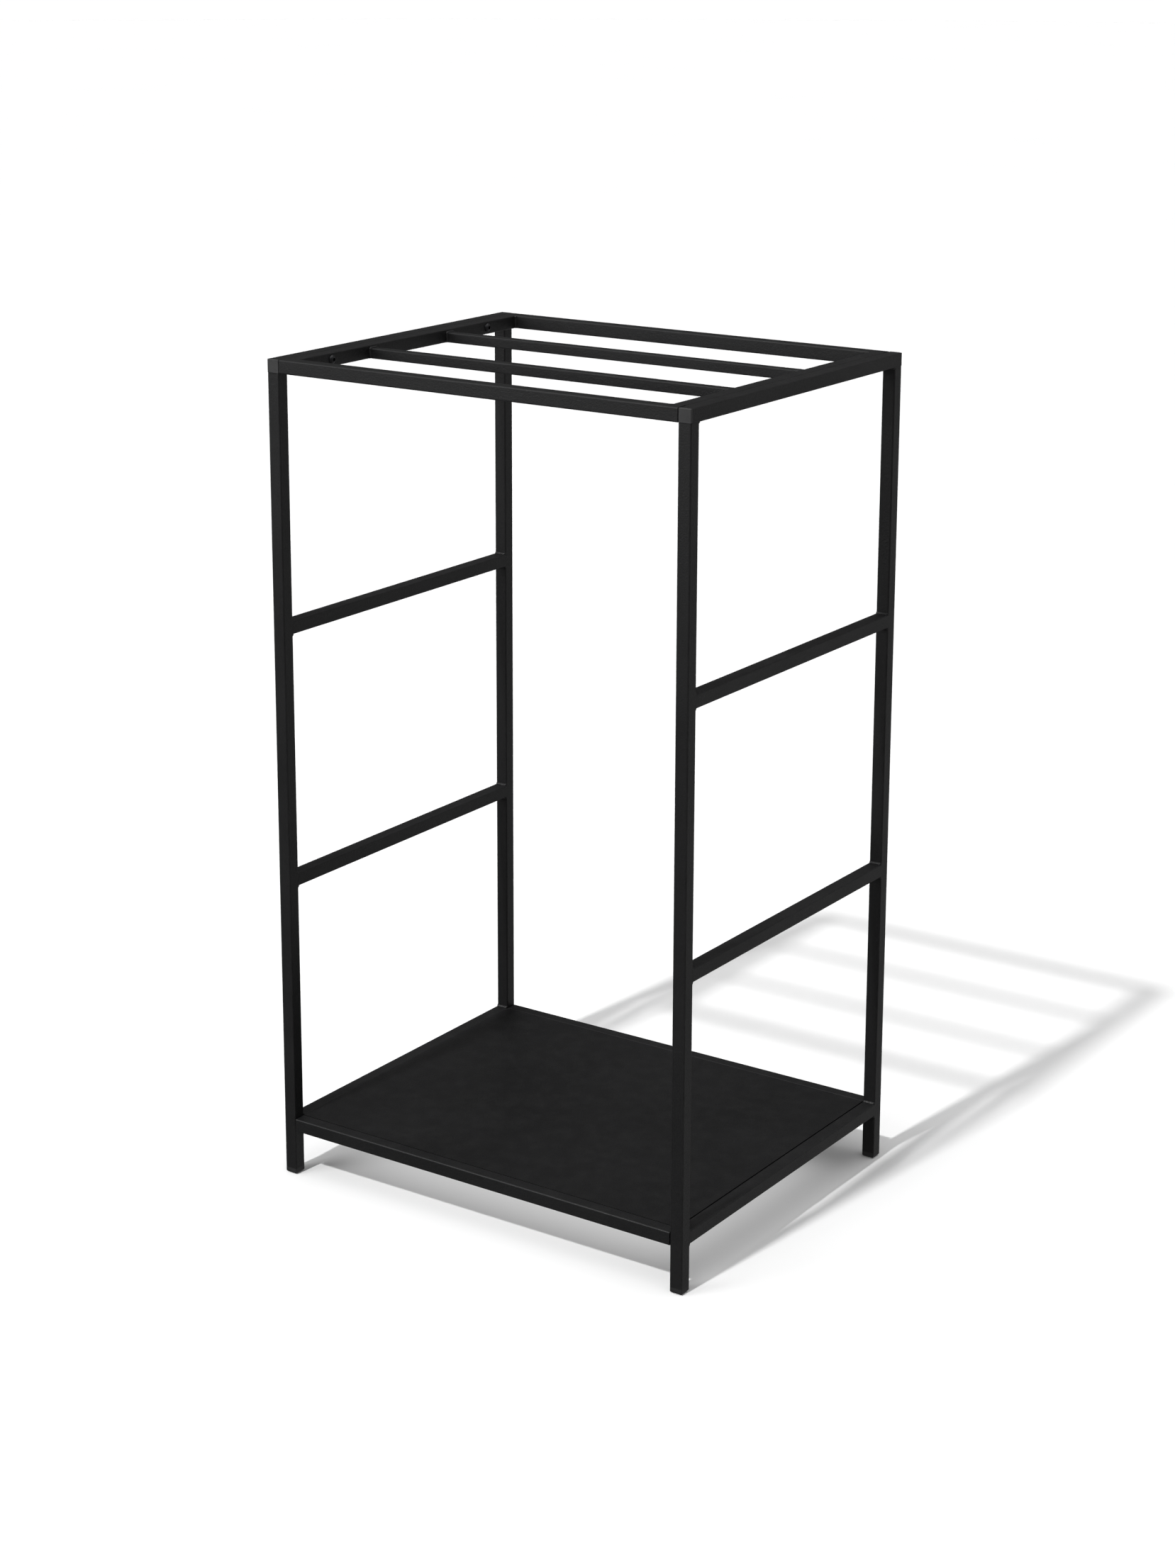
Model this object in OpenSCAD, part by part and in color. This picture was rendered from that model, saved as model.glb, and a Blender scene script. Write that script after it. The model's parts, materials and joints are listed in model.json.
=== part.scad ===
// Firewood log rack: two ladder-shaped side frames, a top frame with two slats and a base frame
// with a sheet-steel plate, bolted together from the inside. All tubes are square steel tube.
// Origin: middle of the footprint, on the floor. X is the width, Y runs front (-) to back (+).

/* [Overall size] */
// Height from the floor to the top of the side frames
rack_height = 990; // [800:5:1200]
// Width across the outer faces of the two side frames
rack_width = 565; // [450:5:800]
// Depth across the outer faces of the front and rear legs
rack_depth = 450; // [400:5:600]

/* [Square tubes] */
// Outside size of the frame tubes
tube_size = 16; // [15:0.5:20]
// Wall thickness of the frame tubes
tube_wall = 1.2; // [1:0.1:1.4]
// Outside corner radius of the frame tubes
tube_corner = 1.6; // [1.5:0.1:2.2]
// Outside size of the slats and of the bars under the base plate
slat_size = 12; // [10:0.5:14]
// Wall thickness of the slats
slat_wall = 1; // [0.8:0.1:1.1]
// Outside corner radius of the slats
slat_corner = 1.3; // [1.2:0.1:1.8]

/* [Levels] */
// Height of the base rails' middle above the floor
base_level = 64; // [50:1:120]
// Distance of the slats' middle lines from the middle of the rack
slat_offset = 74; // [60:1:90]

/* [Base plate] */
// Thickness of the sheet-steel base plate
plate_thickness = 1.5; // [1:0.5:2]

/* [Fixings] */
// Gap between a side frame and the frames bolted to it
joint_gap = 0.8; // [0.5:0.1:1.5]
// Distance of the screws from the middle of the rack, front and back
screw_offset = 150; // [110:5:170]
// Length of the M6 screws under the head
screw_length = 25; // [20:1:27]

/* [Plastic plugs] */
// Width of the foot plugs' heads
foot_width = 16; // [15:0.5:18]
// Height of the foot plugs' heads
foot_height = 7; // [5:0.5:10]
// Radius of the foot plugs' lower edges
foot_edge = 3.8; // [1:0.1:4.5]
// Thickness of the heads of the plugs in the ends of the side top rails
cap_height = 2; // [1.5:0.1:3]
// Radius of the edges of those heads
cap_edge = 0.8; // [0.4:0.1:1]
// Length of every plug's stem inside its tube
stem_length = 12; // [11:1:20]

/* [Hidden] */
$fn = 48;
steel_black = [0.055, 0.055, 0.06];
plastic_black = [0.09, 0.09, 0.095];
screw_black = [0.12, 0.12, 0.13];
zinc = [0.62, 0.63, 0.65];

// Outer faces and inner faces of the side frames, and of the legs front to back
side_outer = rack_width / 2;
side_inner = side_outer - tube_size;
leg_outer = rack_depth / 2;
leg_inner = leg_outer - tube_size;
side_middle = side_outer - tube_size / 2;
leg_middle = leg_outer - tube_size / 2;

// Levels: the rungs part the height between base rail and top rail into equal bays
top_level = rack_height - tube_size / 2;
bay = (top_level - base_level) / 3;
lower_rung_level = base_level + bay;
upper_rung_level = base_level + 2 * bay;
top_underside = rack_height - tube_size;
base_top = base_level + tube_size / 2;
plate_underside = base_top - plate_thickness;

// Slats are flush with the top frame's underside; bars and end rails of the base carry the plate
slat_level = top_underside + slat_size / 2;
support_level = plate_underside - slat_size / 2;
base_end_rail_level = plate_underside - tube_size / 2;

// The top and base frames reach from side frame to side frame, less the gap at each end
frame_end = side_inner - joint_gap;
end_rail_inner = frame_end - tube_size;
end_rail_middle = frame_end - tube_size / 2;

// M6 button-head screw and M6 rivet nut
screw_radius = 2.95;
clearance_hole_radius = 3.3;
head_radius = 5.25;
head_height = 3.3;
head_rim = 0.8;
socket_across_flats = 4;
socket_depth = 2;
nut_bore_radius = 3.05;
nut_barrel_radius = 4.5;
nut_hole_radius = 4.55;
nut_flange_radius = 6;
nut_collar_radius = 5.7;
nut_collar_length = 2.2;
nut_barrel_length = 11;

// Plug stems: a thin-walled box with gripping fins
stem_clearance = 0.3;
stem_wall = 1.4;
fin_clearance = 0.05;
fin_thickness = 0.8;
fin_spacing = 3.2;
fin_count = 3;
overlap = 0.01;

// ---- shared shapes ----

// Square with rounded corners, centred
module rounded_square(size, radius) {
    square([size, size - 2 * radius], center = true);
    square([size - 2 * radius, size], center = true);
    for (x = [-1, 1], y = [-1, 1])
        translate([x * (size / 2 - radius), y * (size / 2 - radius)])
            circle(r = radius);
}

// Square tube standing on the floor plane
module upright_tube(length, size, wall, radius) {
    linear_extrude(length)
        difference() {
            rounded_square(size, radius);
            rounded_square(size - 2 * wall, radius - wall);
        }
}

// Square tubes along Y and along X, centred on the origin
module tube_along_y(length, size = tube_size, wall = tube_wall, radius = tube_corner) {
    translate([0, length / 2, 0])
        rotate([90, 0, 0])
            upright_tube(length, size, wall, radius);
}
module tube_along_x(length, size = tube_size, wall = tube_wall, radius = tube_corner) {
    translate([-length / 2, 0, 0])
        rotate([90, 0, 90])
            upright_tube(length, size, wall, radius);
}

// Puts a right-hand piece on the right (side = 1) or its mirror image on the left (side = -1)
module on_side(side) {
    if (side > 0) children();
    else mirror([1, 0, 0]) children();
}

// Cylinder along +X from the origin
module rod_along_x(radius, length) {
    rotate([0, 90, 0]) cylinder(r = radius, h = length);
}

// ---- side frames ----

module leg(side, end) {
    color(steel_black)
        translate([side * side_middle, end * leg_middle, foot_height])
            upright_tube(top_underside - foot_height, tube_size, tube_wall, tube_corner);
}

// Holes for the rivet nuts, through the inner wall of a right-hand rail
module nut_holes(level) {
    for (end = [-1, 1])
        translate([side_inner - overlap, end * screw_offset, level])
            rod_along_x(nut_hole_radius, tube_size / 2);
}

module side_top_rail(side) {
    color(steel_black)
        on_side(side)
            difference() {
                translate([side_middle, 0, top_level])
                    tube_along_y(rack_depth - 2 * cap_height);
                nut_holes(top_level);
            }
}

module side_base_rail(side) {
    color(steel_black)
        on_side(side)
            difference() {
                translate([side_middle, 0, base_level]) tube_along_y(2 * leg_inner);
                nut_holes(base_level);
            }
}

module rung(side, level) {
    color(steel_black)
        translate([side * side_middle, 0, level]) tube_along_y(2 * leg_inner);
}

// ---- top and base frames ----

module cross_rail(end, level) {
    color(steel_black)
        translate([0, end * leg_middle, level]) tube_along_x(2 * frame_end);
}

// Rail that lies beside a side frame's rail and carries the screws
module end_rail(side, level, screw_level) {
    color(steel_black)
        on_side(side)
            difference() {
                translate([end_rail_middle, 0, level]) tube_along_y(2 * leg_inner);
                for (end = [-1, 1])
                    translate([end_rail_inner - overlap, end * screw_offset, screw_level])
                        rod_along_x(clearance_hole_radius, tube_size + 2 * overlap);
            }
}

module slat_bar(end, level) {
    color(steel_black)
        translate([0, end * slat_offset, level])
            tube_along_x(2 * end_rail_inner, slat_size, slat_wall, slat_corner);
}

module base_plate() {
    color(steel_black)
        translate([-frame_end, -leg_inner, plate_underside])
            cube([2 * frame_end, 2 * leg_inner, plate_thickness]);
}

// ---- plastic plugs ----

// Outline of a plug head seen from the side: square at the top, rounded at the bottom
module head_profile(width, height, edge) {
    translate([-width / 2, edge]) square([width, height - edge]);
    translate([-width / 2 + edge, 0]) square([width - 2 * edge, height]);
    for (x = [-1, 1])
        translate([x * (width / 2 - edge), edge]) circle(r = edge);
}

// Head of a plug, outer face on the floor plane and stem side up
module plug_head(width, height, edge) {
    intersection() {
        linear_extrude(height) rounded_square(width, tube_corner);
        translate([0, width / 2, 0])
            rotate([90, 0, 0])
                linear_extrude(width) head_profile(width, height, edge);
        translate([-width / 2, 0, 0])
            rotate([90, 0, 90])
                linear_extrude(width) head_profile(width, height, edge);
    }
}

// Plug for the end of a frame tube: head, hollow stem and gripping fins
module plug(width, height, edge) {
    bore = tube_size - 2 * tube_wall;
    stem = bore - 2 * stem_clearance;
    fin = bore - 2 * fin_clearance;
    fin_corner = tube_corner - tube_wall;
    plug_head(width, height, edge);
    difference() {
        union() {
            translate([0, 0, height - overlap])
                linear_extrude(stem_length + overlap) square(stem, center = true);
            for (row = [1 : fin_count])
                translate([0, 0, height + row * fin_spacing])
                    linear_extrude(fin_thickness) rounded_square(fin, fin_corner);
        }
        translate([0, 0, height + fin_thickness])
            linear_extrude(stem_length + 1) square(stem - 2 * stem_wall, center = true);
    }
}

module foot(side, end) {
    color(plastic_black)
        translate([side * side_middle, end * leg_middle, 0])
            plug(foot_width, foot_height, foot_edge);
}

module rail_plug(side, end) {
    color(plastic_black)
        translate([side * side_middle, end * leg_outer, top_level])
            rotate([end * 90, 0, 0])
                plug(tube_size, cap_height, cap_edge);
}

// ---- screws and rivet nuts ----

// Button-head screw along +X, the underside of its head at the origin
module screw() {
    dome = head_height - head_rim;
    dome_radius = (head_radius * head_radius + dome * dome) / (2 * dome);
    rod_along_x(screw_radius, screw_length);
    rotate([0, -90, 0])
        difference() {
            intersection() {
                translate([0, 0, -overlap]) cylinder(r = head_radius, h = head_height + overlap);
                translate([0, 0, head_height - dome_radius]) sphere(r = dome_radius);
            }
            translate([0, 0, head_height - socket_depth])
                cylinder(d = socket_across_flats / cos(30), h = socket_depth + 1, $fn = 6);
        }
}

// Rivet nut along +X: flange in the joint gap, collar squeezed out behind the tube wall, barrel
module rivet_nut() {
    difference() {
        union() {
            rod_along_x(nut_flange_radius, joint_gap);
            rod_along_x(nut_barrel_radius, joint_gap + nut_barrel_length);
            translate([joint_gap + tube_wall, 0, 0])
                rod_along_x(nut_collar_radius, nut_collar_length);
        }
        translate([-1, 0, 0]) rod_along_x(nut_bore_radius, nut_barrel_length + joint_gap + 2);
    }
}

module screw_pair(side, level) {
    color(screw_black)
        on_side(side)
            for (end = [-1, 1])
                translate([end_rail_inner, end * screw_offset, level]) screw();
}

module rivet_nut_pair(side, level) {
    color(zinc)
        on_side(side)
            for (end = [-1, 1])
                translate([frame_end, end * screw_offset, level]) rivet_nut();
}

// ---- the pieces ----

leg(-1, -1);  // left_front_leg
leg(-1, 1);  // left_rear_leg
leg(1, -1);  // right_front_leg
leg(1, 1);  // right_rear_leg
side_top_rail(-1);  // left_top_rail
rung(-1, upper_rung_level);  // left_upper_rung
rung(-1, lower_rung_level);  // left_lower_rung
side_base_rail(-1);  // left_base_rail
side_top_rail(1);  // right_top_rail
rung(1, upper_rung_level);  // right_upper_rung
rung(1, lower_rung_level);  // right_lower_rung
side_base_rail(1);  // right_base_rail
cross_rail(-1, top_level);  // top_front_rail
cross_rail(1, top_level);  // top_rear_rail
end_rail(-1, top_level, top_level);  // top_left_end_rail
end_rail(1, top_level, top_level);  // top_right_end_rail
slat_bar(-1, slat_level);  // top_front_slat
slat_bar(1, slat_level);  // top_rear_slat
cross_rail(-1, base_level);  // base_front_rail
cross_rail(1, base_level);  // base_rear_rail
end_rail(-1, base_end_rail_level, base_level);  // base_left_end_rail
end_rail(1, base_end_rail_level, base_level);  // base_right_end_rail
slat_bar(-1, support_level);  // base_front_support
slat_bar(1, support_level);  // base_rear_support
base_plate();
rail_plug(-1, -1);  // left_front_rail_plug
rail_plug(-1, 1);  // left_rear_rail_plug
rail_plug(1, -1);  // right_front_rail_plug
rail_plug(1, 1);  // right_rear_rail_plug
foot(-1, -1);  // left_front_foot
foot(-1, 1);  // left_rear_foot
foot(1, -1);  // right_front_foot
foot(1, 1);  // right_rear_foot
screw_pair(-1, top_level);  // left_top_screws
screw_pair(1, top_level);  // right_top_screws
screw_pair(-1, base_level);  // left_base_screws
screw_pair(1, base_level);  // right_base_screws
rivet_nut_pair(-1, top_level);  // left_top_rivet_nuts
rivet_nut_pair(1, top_level);  // right_top_rivet_nuts
rivet_nut_pair(-1, base_level);  // left_base_rivet_nuts
rivet_nut_pair(1, base_level);  // right_base_rivet_nuts
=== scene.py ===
"""Firewood log rack: materials, weld beads, floor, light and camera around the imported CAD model.

Lengths are in metres. X is the width, Y runs from front (-) to back (+), Z is up, with the origin on the
floor in the middle of the rack. Places come from the CAD nodes' own boxes.
"""
import json
import math
import random

import bmesh
import bpy
from mathutils import Matrix, Vector


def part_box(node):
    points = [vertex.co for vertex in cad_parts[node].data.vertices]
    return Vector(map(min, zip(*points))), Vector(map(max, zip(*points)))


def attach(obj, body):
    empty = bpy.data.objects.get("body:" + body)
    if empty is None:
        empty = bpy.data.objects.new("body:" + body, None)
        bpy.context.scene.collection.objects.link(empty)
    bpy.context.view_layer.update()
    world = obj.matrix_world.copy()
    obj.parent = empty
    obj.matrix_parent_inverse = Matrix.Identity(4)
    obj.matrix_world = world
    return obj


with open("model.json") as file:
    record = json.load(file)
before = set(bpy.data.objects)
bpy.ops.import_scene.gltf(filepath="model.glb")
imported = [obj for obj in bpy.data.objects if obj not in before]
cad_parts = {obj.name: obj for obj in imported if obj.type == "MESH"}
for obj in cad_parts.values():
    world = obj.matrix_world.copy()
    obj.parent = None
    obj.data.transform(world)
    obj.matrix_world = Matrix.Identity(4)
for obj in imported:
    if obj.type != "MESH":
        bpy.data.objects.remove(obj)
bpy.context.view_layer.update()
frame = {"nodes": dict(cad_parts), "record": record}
nodes = frame["nodes"]

MM = 0.001
SIDES = ("left", "right")
ENDS = ("front", "rear")
X_AXIS = Vector((1, 0, 0))
Y_AXIS = Vector((0, 1, 0))
Z_AXIS = Vector((0, 0, 1))


# ---------------------------------------------------------------- camera

CAMERA_PLACE = Vector((1.8601, -2.7286, 1.5154))
CAMERA_HEADING = 34.48      # degrees to the left of +Y
CAMERA_PITCH = 13.72        # degrees below level
CAMERA_ROLL = 0.10
CAMERA_SHIFT = (0.007, -0.12)
CAMERA_REACH = 200.0        # the far end of what the camera sees
LENS = 67.427               # in millimetres, as is the sensor's long side
SENSOR = 36.0


def make_camera():
    data = bpy.data.cameras.new("camera")
    data.sensor_width = SENSOR
    data.lens = LENS
    data.shift_x, data.shift_y = CAMERA_SHIFT
    data.clip_end = CAMERA_REACH
    camera = bpy.data.objects.new("camera", data)
    camera.location = CAMERA_PLACE
    turn = Matrix.Rotation(math.radians(CAMERA_HEADING), 4, "Z")
    tilt = Matrix.Rotation(math.radians(90 - CAMERA_PITCH), 4, "X")
    roll = Matrix.Rotation(math.radians(CAMERA_ROLL), 4, "Z")
    camera.rotation_euler = (turn @ tilt @ roll).to_euler()
    bpy.context.scene.collection.objects.link(camera)
    bpy.context.scene.camera = camera


make_camera()


# ---------------------------------------------------------------- materials

class Nodes:
    """A short way to build one material's node tree."""

    def __init__(self, name):
        self.material = bpy.data.materials.new(name)
        self.material.use_nodes = True
        self.tree = self.material.node_tree
        self.shader = self.tree.nodes["Principled BSDF"]
        self.place = self.tree.nodes.new("ShaderNodeTexCoord").outputs["Object"]

    def add(self, kind, **inputs):
        node = self.tree.nodes.new(kind)
        for name, value in inputs.items():
            self.put(node.inputs[name.replace("_", " ")], value)
        return node

    def put(self, socket, value):
        if isinstance(value, bpy.types.NodeSocket):
            self.tree.links.new(value, socket)
        else:
            socket.default_value = value

    def noise(self, scale, detail=3.0, roughness=0.55):
        """Noise from 0 to 1, with about scale patches to the metre."""
        node = self.add("ShaderNodeTexNoise", Vector=self.place, Scale=scale, Detail=detail)
        node.inputs["Roughness"].default_value = roughness
        return node.outputs["Fac"]

    def spread(self, value, low, high, to_low=0.0, to_high=1.0):
        """value rescaled from low..high to to_low..to_high, and held inside them."""
        node = self.add("ShaderNodeMapRange")
        self.put(node.inputs["Value"], value)
        self.put(node.inputs["From Min"], low)
        self.put(node.inputs["From Max"], high)
        self.put(node.inputs["To Min"], to_low)
        self.put(node.inputs["To Max"], to_high)
        return node.outputs["Result"]

    def maths(self, operation, a, b):
        node = self.tree.nodes.new("ShaderNodeMath")
        node.operation = operation
        self.put(node.inputs[0], a)
        self.put(node.inputs[1], b)
        return node.outputs[0]

    def blend(self, amount, first, second):
        """Mix of two colours, which are the mix node's inputs 6 and 7. Its output 2 is the mixed colour."""
        node = self.tree.nodes.new("ShaderNodeMix")
        node.data_type = "RGBA"
        self.put(node.inputs["Factor"], amount)
        self.put(node.inputs[6], first)
        self.put(node.inputs[7], second)
        return node.outputs[2]

    def bump(self, height, strength, distance, below=None):
        node = self.add("ShaderNodeBump", Height=height, Strength=strength, Distance=distance)
        if below is not None:
            self.put(node.inputs["Normal"], below)
        return node.outputs["Normal"]

    def facing(self):
        return self.tree.nodes.new("ShaderNodeNewGeometry").outputs["Normal"]

    def facing_up(self):
        """1 on surfaces that face up, 0 on the others."""
        split = self.add("ShaderNodeSeparateXYZ", Vector=self.facing())
        return self.spread(split.outputs["Z"], 0.75, 0.98)

    def on_edges(self):
        """1 on the rounded edges of the tubes, which face between two axes, 0 on their flat faces."""
        size = self.tree.nodes.new("ShaderNodeVectorMath")
        size.operation = "ABSOLUTE"
        self.put(size.inputs[0], self.facing())
        split = self.add("ShaderNodeSeparateXYZ", Vector=size.outputs["Vector"])
        largest = self.maths("MAXIMUM", split.outputs["X"], split.outputs["Y"])
        largest = self.maths("MAXIMUM", largest, split.outputs["Z"])
        return self.spread(largest, 0.76, 0.96, 1.0, 0.0)


def grey(level, blue=1.04):
    return (level, level, level * blue, 1.0)


def powder_coat(name, base, texture_depth, gloss_level):
    """Matt black powder coat: fine leathery texture over orange peel, cloudy gloss, edges rubbed a little
    smoother and painted lighter, partly as rubbed wear and partly as a painted highlight, and a trace of
    dust."""
    m = Nodes(name)
    cloud = m.noise(9, detail=4)                        # about 110 mm across
    mottle = m.noise(60, detail=3)                      # 17 mm
    peel = m.noise(520, detail=2, roughness=0.45)       # 2 mm
    grain = m.noise(1900, detail=3, roughness=0.6)      # 0.5 mm

    paint = m.blend(m.spread(cloud, 0.35, 0.68), grey(base * 0.88), grey(base * 1.12))
    paint = m.blend(m.spread(mottle, 0.40, 0.70, 0.0, 0.3), paint, grey(base * 1.25))
    paint = m.blend(m.spread(grain, 0.52, 0.70, 0.0, 0.6), paint, grey(base * 2.4))
    dust = m.maths("MULTIPLY", m.facing_up(), m.spread(mottle, 0.42, 0.72, 0.0, 0.05))
    paint = m.blend(dust, paint, grey(0.06, 0.97))
    # the rounded edges are painted lighter: partly rubbed wear, partly a painted highlight along the edges
    edge_wear_and_highlight = m.maths("MULTIPLY", m.on_edges(), m.spread(mottle, 0.36, 0.66, 0.15, 1.0))
    paint = m.blend(m.maths("MULTIPLY", edge_wear_and_highlight, 0.6), paint, grey(base * 2.6))
    m.put(m.shader.inputs["Base Color"], paint)

    rough = m.spread(cloud, 0.3, 0.7, 0.38, 0.48)
    rough = m.maths("ADD", rough, m.spread(grain, 0.3, 0.7, 0.08, -0.08))
    rough = m.maths("SUBTRACT", rough, m.maths("MULTIPLY", edge_wear_and_highlight, 0.07))
    m.put(m.shader.inputs["Roughness"], rough)
    m.put(m.shader.inputs["Specular IOR Level"], gloss_level)

    relief = m.bump(peel, 1.0, texture_depth)
    relief = m.bump(grain, 1.0, texture_depth * 0.6, below=relief)
    m.put(m.shader.inputs["Normal"], relief)
    return m.material


def moulded_plastic(name, base, roughness):
    """Black moulded plastic with a spark-eroded grain and light scuffs."""
    m = Nodes(name)
    cloud = m.noise(35, detail=3)
    grain = m.noise(3200, detail=2, roughness=0.5)
    scuff = m.noise(420, detail=5, roughness=0.7)
    paint = m.blend(m.spread(cloud, 0.35, 0.7), grey(base * 0.9, 1.02), grey(base * 1.15, 1.02))
    paint = m.blend(m.spread(scuff, 0.62, 0.74, 0.0, 0.5), paint, grey(base * 2.2, 1.0))
    m.put(m.shader.inputs["Base Color"], paint)
    m.put(m.shader.inputs["Roughness"], m.spread(grain, 0.3, 0.7, roughness - 0.06, roughness + 0.08))
    m.put(m.shader.inputs["Specular IOR Level"], 0.42)
    m.put(m.shader.inputs["Normal"], m.bump(grain, 0.5, 0.05 * MM))
    return m.material


def plated_steel(name, base, roughness, blue):
    """Screw and nut steel: fine tool marks, and darker where the plating is thin."""
    m = Nodes(name)
    cloud = m.noise(240, detail=4)
    marks = m.noise(1800, detail=2)
    paint = m.blend(m.spread(cloud, 0.35, 0.68), grey(base * 0.8, blue), grey(base * 1.15, blue))
    m.put(m.shader.inputs["Base Color"], paint)
    m.put(m.shader.inputs["Metallic"], 1.0)
    m.put(m.shader.inputs["Roughness"], m.spread(marks, 0.3, 0.7, roughness - 0.08, roughness + 0.1))
    m.put(m.shader.inputs["Normal"], m.bump(marks, 0.4, 0.03 * MM))
    return m.material


MATERIALS = {
    "powder_coat": powder_coat("powder_coat", 0.0065, 0.22 * MM, 0.28),
    "plate_coat": powder_coat("plate_coat", 0.0055, 0.22 * MM, 0.24),
    "plug_plastic": moulded_plastic("plug_plastic", 0.022, 0.42),
    "foot_plastic": moulded_plastic("foot_plastic", 0.014, 0.55),
    "screw_steel": plated_steel("screw_steel", 0.07, 0.38, 1.05),
    "zinc_steel": plated_steel("zinc_steel", 0.55, 0.32, 1.03),
}


def finish_cad_nodes():
    slots = {s["node"]: s["material_slot"] for s in frame["record"]["subparts"]}
    for name, node in nodes.items():
        for slot in node.material_slots:
            slot.material = MATERIALS[slots[name]]


finish_cad_nodes()


# ---------------------------------------------------------------- weld beads

BEAD_STEP = 0.5 * MM        # distance between two rings of a bead
CORNER_STEPS = 5            # rings round each corner of a tube
PROFILE_POINTS = 7
RIPPLE_PITCH = 1.8 * MM     # one weld ripple
RIPPLE_DEPTH = 0.12         # share of the bead's size
SIZE_WANDER = 0.10          # how far the bead's size strays
SIZE_FOLLOW = 0.3           # how fast it follows
THINNEST = 0.12             # size of a bead at its open ends
CROWN = 0.17                # how far a fillet stands out, as a share of its leg length
SINK = 0.04 * MM            # how far a bead's edges lie under the tubes' faces
ROOT = 0.6 * MM             # how deep a bead reaches into the bar
ROOT_DEPTH = 0.7 * ROOT     # and into the host
FLUSH_REACH = 0.3 * MM      # where a bead ground flush starts on its bar
FRAME_CORNER = 1.6 * MM     # corner radius of the frame tubes
SLAT_CORNER = 1.3 * MM      # corner radius of the thin bars
FRAME_FILLET = 2.3 * MM     # leg length of a fillet weld on a frame tube
SLAT_FILLET = 1.9 * MM      # and on a thin bar
HALF_TUBE = 8 * MM
HALF_SLAT = 6 * MM
FAR = 1.0                   # a host face that ends well beyond the joint
STITCH_LENGTH = 22 * MM
STITCH_COUNT = 4            # stitches along each long edge of the base plate
wander = random.Random(7)


class Joint:
    """Where the end of a bar meets the face of a host tube.

    out points from the host along the bar. Across the bar, u is the direction in which the host's face ends
    at host_low and host_high (with a rounded edge), and v runs along the host. Places in (u, v) are taken
    from centre, the middle of the bar's end."""

    def __init__(self, centre, u, v, out, half, corner, leg, host_low, host_high):
        self.centre, self.u, self.v, self.out = centre, u, v, out
        self.half, self.corner, self.leg = half, corner, leg
        self.host_low, self.host_high = host_low, host_high

    def place(self, p, along_bar):
        return self.centre + self.u * p.x + self.v * p.y + self.out * along_bar

    def host_depth(self, u):
        """How far the host's face lies behind the joint plane, which it does only on its rounded edges."""
        past = max(u - (self.host_high - FRAME_CORNER), self.host_low + FRAME_CORNER - u, 0.0)
        past = min(past, FRAME_CORNER)
        return FRAME_CORNER - math.sqrt(FRAME_CORNER ** 2 - past ** 2)

    def flushness(self, p, facing):
        """1 where the bar's face runs on into the host's face, 0 where the host's face is square to it."""
        room = self.host_high - p.x if facing.x > 0 else p.x - self.host_low
        return facing.x ** 2 if room < self.leg else 0.0

    def section(self, p, facing, size, ripple):
        """The bead's cross-section at the point p of the bar's outline: its root, then its face."""
        flush = self.flushness(p, facing)
        reach = self.leg * size * (1 + ripple * (1 - flush))
        to_bar = reach * (1 - flush) + FLUSH_REACH * flush
        spread_u = min(max(p.x + facing.x * reach, self.host_low + SINK), self.host_high - SINK)
        on_bar = self.place(p - facing * SINK, to_bar)
        on_host = self.place(Vector((spread_u, p.y + facing.y * reach)), -self.host_depth(spread_u) - SINK)
        outward = (self.u * facing.x + self.v * facing.y + self.out * (1 - flush)).normalized()
        crown = CROWN * reach * (1 - flush)
        corner_root = self.place(p - facing * ROOT, -ROOT_DEPTH)
        flush_root = on_bar.lerp(on_host, 0.5) - outward * ROOT
        ring = [corner_root.lerp(flush_root, flush)]
        for k in range(PROFILE_POINTS):
            t = k / (PROFILE_POINTS - 1)
            ring.append(on_bar.lerp(on_host, t) + outward * (4 * crown * t * (1 - t)))
        return ring


def bar_outline(joint, sides):
    """The bar's outline as (place, facing) pairs, over the sides named: 'u+', 'v+', 'u-', 'v-'. Returns one
    list for each unbroken run of sides, and whether the run closes on itself."""
    order = ("u+", "v+", "u-", "v-")
    flat = joint.half - joint.corner
    across = max(4, round(2 * flat / BEAD_STEP))

    def flat_part(quarter):
        turn = Matrix.Rotation(quarter * math.pi / 2, 2)
        steps = [(i / across) * 2 * flat - flat for i in range(across + 1)]
        return [(turn @ Vector((joint.half, s)), turn @ Vector((1, 0))) for s in steps]

    def corner_part(quarter):
        turn = Matrix.Rotation(quarter * math.pi / 2, 2)
        angles = [math.pi / 2 * i / CORNER_STEPS for i in range(1, CORNER_STEPS)]
        ways = [Vector((math.cos(a), math.sin(a))) for a in angles]
        return [(turn @ (Vector((flat, flat)) + w * joint.corner), turn @ w) for w in ways]

    closed = len(sides) == 4
    first = 0 if closed else next(i for i in range(4) if order[i] in sides and order[i - 1] not in sides)
    runs, run = [], []
    for i in range(first, first + 4):
        if order[i % 4] not in sides:
            continue
        run += flat_part(i % 4)
        if closed or (order[(i + 1) % 4] in sides and i + 1 < first + 4):
            run += corner_part(i % 4)
        else:
            runs.append(run)
            run = []
    return ([run] if closed else runs), closed


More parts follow.
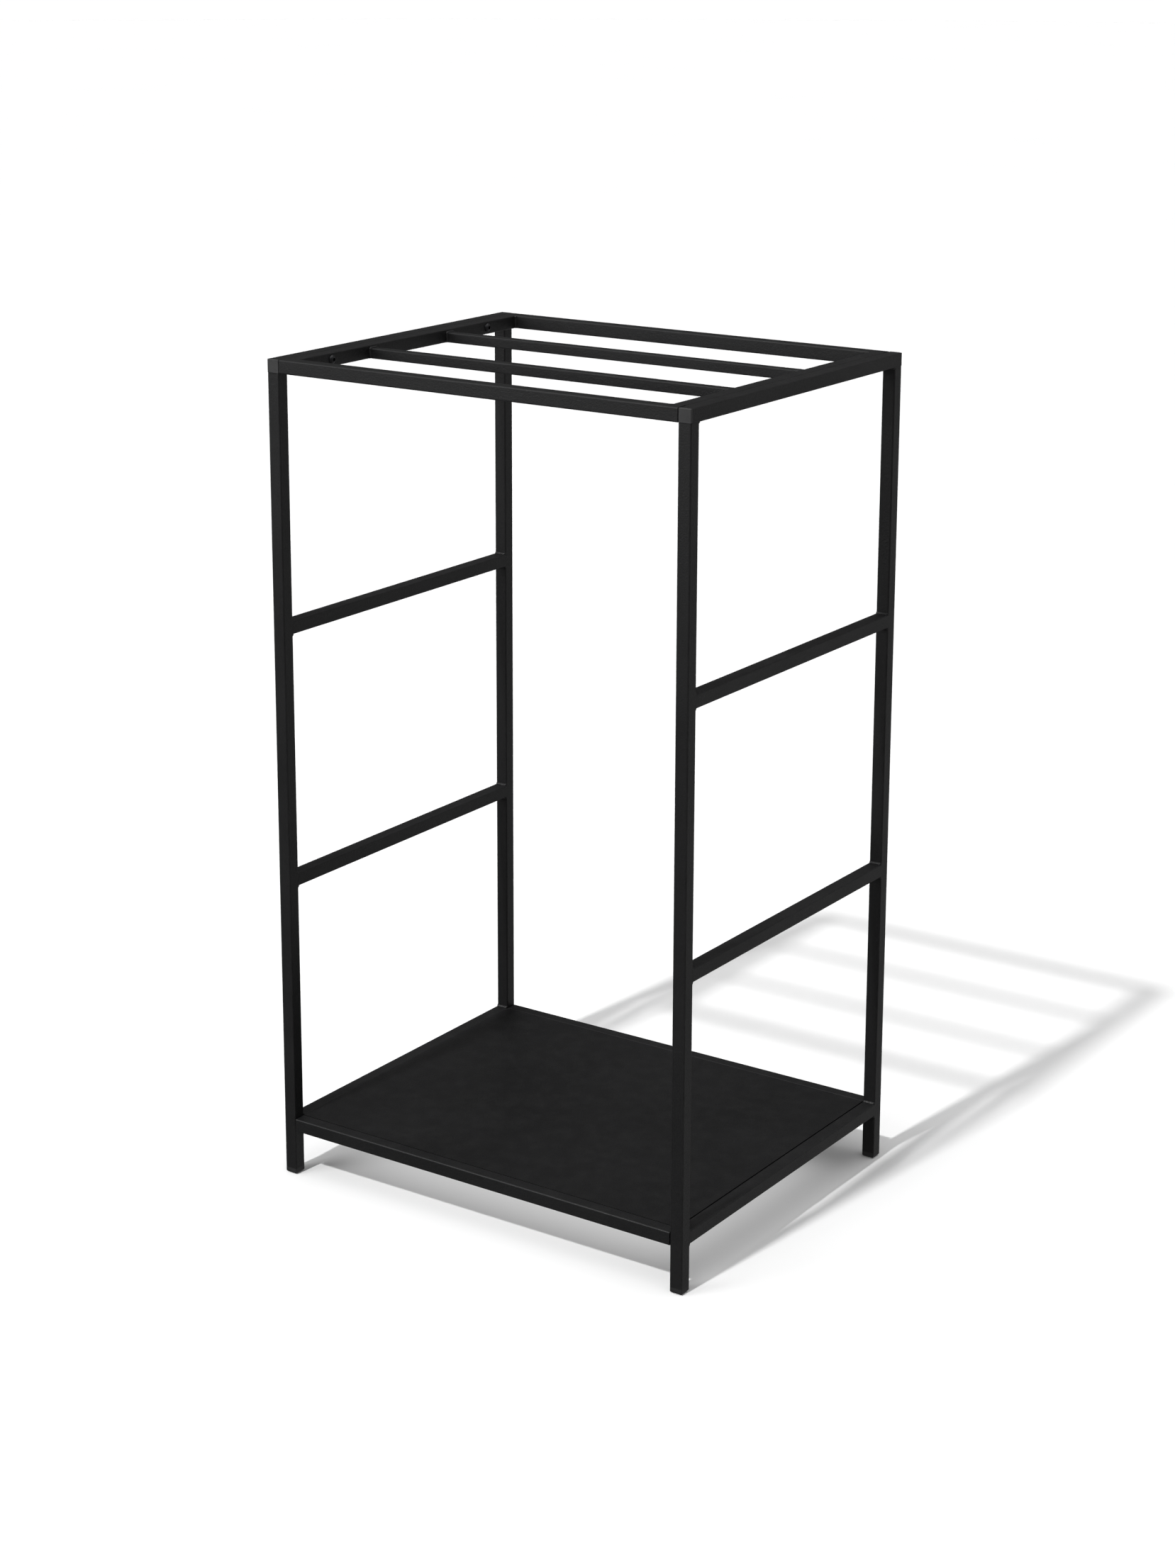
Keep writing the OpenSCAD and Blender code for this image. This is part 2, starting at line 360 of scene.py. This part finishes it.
def lay_bead(mesh, joint, path, closed):
    """A weld bead along a path of (place, facing) pairs. Its ripples have round crests and sharp valleys, and
    an open bead thins out at its ends."""
    lengths = [0.0]
    for (a, _), (b, _) in zip(path, path[1:]):
        lengths.append(lengths[-1] + (b - a).length)
    total = lengths[-1]
    phase = wander.random()
    size = 1.0
    rings = []
    for (p, facing), run in zip(path, lengths):
        size += SIZE_FOLLOW * (1.0 + wander.uniform(-SIZE_WANDER, SIZE_WANDER) - size)
        taper = 1.0 if closed else (1.0 - abs(2 * run / total - 1) ** 8) ** 0.5
        ripple = RIPPLE_DEPTH * (math.sqrt(abs(math.sin(math.pi * (run / RIPPLE_PITCH + phase)))) - 0.6)
        section = joint.section(p, facing, max(THINNEST, taper) * size, ripple)
        rings.append([mesh.verts.new(v) for v in section])
    count = len(rings[0])
    pairs = list(zip(rings, rings[1:]))
    if closed:
        pairs.append((rings[-1], rings[0]))
    else:
        mesh.faces.new(rings[0])
        mesh.faces.new(reversed(rings[-1]))
    for a, b in pairs:
        for k in range(count):
            n = (k + 1) % count
            mesh.faces.new((a[k], a[n], b[n], b[k]))


def weld(mesh, joint, sides=("u+", "v+", "u-", "v-")):
    runs, closed = bar_outline(joint, sides)
    for run in runs:
        lay_bead(mesh, joint, run, closed)


def middle(node):
    low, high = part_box(node)
    return (low + high) / 2


def make_welds(name, draw):
    mesh = bmesh.new()
    draw(mesh)
    bmesh.ops.recalc_face_normals(mesh, faces=mesh.faces)
    for face in mesh.faces:
        face.smooth = True
    data = bpy.data.meshes.new(name)
    mesh.to_mesh(data)
    mesh.free()
    data.materials.append(MATERIALS["powder_coat"])
    piece = bpy.data.objects.new(name, data)
    bpy.context.scene.collection.objects.link(piece)
    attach(piece, "root")


def side_frame_welds(side):
    """Rungs and base rail to the legs all round, and the legs to the underside of the side top rail, except
    at the rail's plugged ends."""
    def draw(mesh):
        for bar in ("upper_rung", "lower_rung", "base_rail"):
            low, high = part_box(f"{side}_{bar}")
            for y, out in ((low.y, Y_AXIS), (high.y, -Y_AXIS)):
                centre = middle(f"{side}_{bar}")
                centre.y = y
                weld(mesh, Joint(centre, X_AXIS, Z_AXIS, out, HALF_TUBE, FRAME_CORNER, FRAME_FILLET,
                                 -HALF_TUBE, HALF_TUBE))
        for end, inner_side in (("front", "v+"), ("rear", "v-")):
            leg = f"{side}_{end}_leg"
            centre = middle(leg)
            centre.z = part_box(leg)[1].z
            weld(mesh, Joint(centre, X_AXIS, Y_AXIS, -Z_AXIS, HALF_TUBE, FRAME_CORNER, FRAME_FILLET,
                             -HALF_TUBE, HALF_TUBE), ("u+", inner_side, "u-"))
    make_welds(f"{side}_frame_welds", draw)


def corner_joints(level):
    """The four joints between the end rails and the front and rear rail of the top or the base frame, each
    with the side of the end rail that faces into the frame."""
    for side, into_frame in (("left", "v+"), ("right", "v-")):
        low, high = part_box(f"{level}_{side}_end_rail")
        for end, y, out in (("front", low.y, Y_AXIS), ("rear", high.y, -Y_AXIS)):
            centre = middle(f"{level}_{side}_end_rail")
            centre.y = y
            host_low, host_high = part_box(f"{level}_{end}_rail")
            yield Joint(centre, Z_AXIS, X_AXIS, out, HALF_TUBE, FRAME_CORNER, FRAME_FILLET,
                        host_low.z - centre.z, host_high.z - centre.z), into_frame


def bar_joints(level, bar):
    """The joints at the two ends of a thin bar, against the end rails."""
    low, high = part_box(bar)
    for side, x, out in (("left", low.x, X_AXIS), ("right", high.x, -X_AXIS)):
        centre = middle(bar)
        centre.x = x
        host_low, host_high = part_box(f"{level}_{side}_end_rail")
        yield Joint(centre, Z_AXIS, Y_AXIS, out, HALF_SLAT, SLAT_CORNER, SLAT_FILLET,
                    host_low.z - centre.z, host_high.z - centre.z)


def top_frame_welds(mesh):
    for joint, into_frame in corner_joints("top"):
        weld(mesh, joint, ("u+", "u-", into_frame))
    for end in ENDS:
        for joint in bar_joints("top", f"top_{end}_slat"):
            weld(mesh, joint)


def plate_stitches(mesh):
    """Short fillets that hold the base plate's underside to the front and rear rail."""
    low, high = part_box("base_plate")
    spacing = (high.x - low.x) / STITCH_COUNT
    steps = round(STITCH_LENGTH / BEAD_STEP)
    for y, out in ((low.y, Y_AXIS), (high.y, -Y_AXIS)):
        for i in range(STITCH_COUNT):
            centre = Vector((low.x + spacing * (i + 0.5), y, low.z))
            joint = Joint(centre, X_AXIS, Z_AXIS, out, 0, 0, FRAME_FILLET, -FAR, FAR)
            along = [STITCH_LENGTH * (k / steps - 0.5) for k in range(steps + 1)]
            path = [(Vector((x, 0)), Vector((0, -1))) for x in along]
            lay_bead(mesh, joint, path, closed=False)


def base_frame_welds(mesh):
    for joint, into_frame in corner_joints("base"):
        weld(mesh, joint, (into_frame, "u-"))
    for end in ENDS:
        for joint in bar_joints("base", f"base_{end}_support"):
            weld(mesh, joint, ("v+", "u-", "v-"))
    plate_stitches(mesh)


for side_name in SIDES:
    side_frame_welds(side_name)
make_welds("top_frame_welds", top_frame_welds)
make_welds("base_frame_welds", base_frame_welds)


# ---------------------------------------------------------------- floor, backdrop and light

FLOOR_RADIUS = 30.0
BACKDROP_RADIUS = 40.0

SKY_WALLS = 0.12            # brightness of the sky at the walls
SKY_CEILING = 1.53          # and straight above
CEILING_EDGE = 0.5          # the height, as the sine of an angle, where the ceiling starts to brighten
GLOW_WAY = Vector((0.55, 0.79, -0.27))
GLOW_EDGE = 0.5             # where the glow starts, as the cosine of the angle from its middle
GLOW_STRENGTH = 0.21
FLAG_WAY = Vector((-0.43, 0.63, 0.64))
FLAG_EDGE = 0.65            # the same for the dark flag
FLAG_LEVEL = 0.45           # what is left of the sky in the middle of the flag

SUN_TOWARDS = Vector((0.07, 0.722, -1.0))
SUN_STRENGTH = 2.08
SUN_DEGREES = 2.5           # how wide the sun looks, which sets how soft its shadows are


def stage_object(name, mesh):
    data = bpy.data.meshes.new(name)
    mesh.to_mesh(data)
    mesh.free()
    obj = bpy.data.objects.new(name, data)
    bpy.context.scene.collection.objects.link(obj)
    return obj


def make_floor():
    """A plain white floor with one face, so the rack's underside can be seen through it from below."""
    mesh = bmesh.new()
    bmesh.ops.create_circle(mesh, cap_ends=True, radius=FLOOR_RADIUS, segments=96)
    if sum(face.normal.z for face in mesh.faces) < 0:
        bmesh.ops.reverse_faces(mesh, faces=mesh.faces)
    floor = stage_object("floor", mesh)
    m = Nodes("floor_paper")
    tone = m.noise(1.3, detail=2)
    m.put(m.shader.inputs["Base Color"], m.blend(tone, grey(0.84, 1.0), grey(0.86, 1.0)))
    m.put(m.shader.inputs["Roughness"], 0.95)
    m.put(m.shader.inputs["Specular IOR Level"], 0.0)
    underside = m.tree.nodes.new("ShaderNodeNewGeometry").outputs["Backfacing"]
    m.put(m.shader.inputs["Alpha"], m.maths("SUBTRACT", 1.0, underside))
    floor.data.materials.append(m.material)
    floor.visible_glossy = False


def make_backdrop():
    """A far white dome that only the camera sees."""
    mesh = bmesh.new()
    bmesh.ops.create_uvsphere(mesh, u_segments=48, v_segments=24, radius=BACKDROP_RADIUS)
    dome = stage_object("backdrop", mesh)
    m = Nodes("backdrop_white")
    m.put(m.shader.inputs["Base Color"], (0, 0, 0, 1))
    m.put(m.shader.inputs["Emission Color"], (1, 1, 1, 1))
    m.put(m.shader.inputs["Emission Strength"], 1.0)
    dome.data.materials.append(m.material)
    dome.visible_diffuse = False
    dome.visible_glossy = False
    dome.visible_transmission = False
    dome.visible_shadow = False


def make_sky():
    """Studio surroundings: a bright ceiling that falls off to dim walls. A soft glow low on the right behind
    the rack, as from a pale wall and floor, lights its right-hand faces. A dark flag on the left behind the
    rack keeps the ceiling's gloss off the base."""
    world = bpy.data.worlds.new("studio")
    bpy.context.scene.world = world
    world.use_nodes = True
    tree = world.node_tree
    way = tree.nodes.new("ShaderNodeTexCoord").outputs["Generated"]

    def ramp(value, start, at_start, at_one):
        """A smooth run from at_start, where the value is start or less, to at_one, where it is 1."""
        node = tree.nodes.new("ShaderNodeMapRange")
        node.interpolation_type = "SMOOTHSTEP"
        tree.links.new(value, node.inputs["Value"])
        node.inputs["From Min"].default_value = start
        node.inputs["From Max"].default_value = 1.0
        node.inputs["To Min"].default_value = at_start
        node.inputs["To Max"].default_value = at_one
        return node.outputs["Result"]

    def nearness(direction):
        """The cosine of the angle between the way looked and a direction."""
        node = tree.nodes.new("ShaderNodeVectorMath")
        node.operation = "DOT_PRODUCT"
        tree.links.new(way, node.inputs[0])
        node.inputs[1].default_value = direction.normalized()
        return node.outputs["Value"]

    split = tree.nodes.new("ShaderNodeSeparateXYZ")
    tree.links.new(way, split.inputs[0])
    ceiling = ramp(split.outputs["Z"], CEILING_EDGE, SKY_WALLS, SKY_CEILING)
    flag = ramp(nearness(FLAG_WAY), FLAG_EDGE, 1.0, FLAG_LEVEL)
    glow = ramp(nearness(GLOW_WAY), GLOW_EDGE, 0.0, GLOW_STRENGTH)
    total = tree.nodes.new("ShaderNodeMath")
    total.operation = "MULTIPLY_ADD"
    for socket, part in zip(total.inputs, (ceiling, flag, glow)):
        tree.links.new(part, socket)
    tree.links.new(total.outputs[0], tree.nodes["Background"].inputs["Strength"])
    tree.nodes["Background"].inputs["Color"].default_value = (1, 1, 1, 1)


def make_sun():
    """The main light: from the front and a little from the left, 54 degrees up."""
    data = bpy.data.lights.new("key", "SUN")
    data.energy = SUN_STRENGTH
    data.angle = math.radians(SUN_DEGREES)
    light = bpy.data.objects.new("key", data)
    light.rotation_euler = SUN_TOWARDS.to_track_quat("-Z", "Y").to_euler()
    bpy.context.scene.collection.objects.link(light)


def make_softbox(name, place, target, size, power):
    """A rectangular light at place, turned towards target."""
    data = bpy.data.lights.new(name, "AREA")
    data.shape = "RECTANGLE"
    data.size, data.size_y = size
    data.energy = power
    light = bpy.data.objects.new(name, data)
    light.location = place
    light.rotation_euler = (Vector(target) - Vector(place)).to_track_quat("-Z", "Y").to_euler()
    light.visible_camera = False
    bpy.context.scene.collection.objects.link(light)


make_floor()
make_backdrop()
make_sky()
make_sun()
# a square box on the left in front, which gives the front faces their sheen
make_softbox("front_box", place=(-1.9, -3.0, 1.8), target=(0, 0, 0.8), size=(1.6, 1.6), power=46)
# a faint fill under the base plate, so that the floor's shadow stays light grey there too
make_softbox("under_fill", place=(0, 0, 0.052), target=(0, 0, 0), size=(0.50, 0.33), power=0.40)
bpy.context.scene.view_settings.view_transform = "Standard"
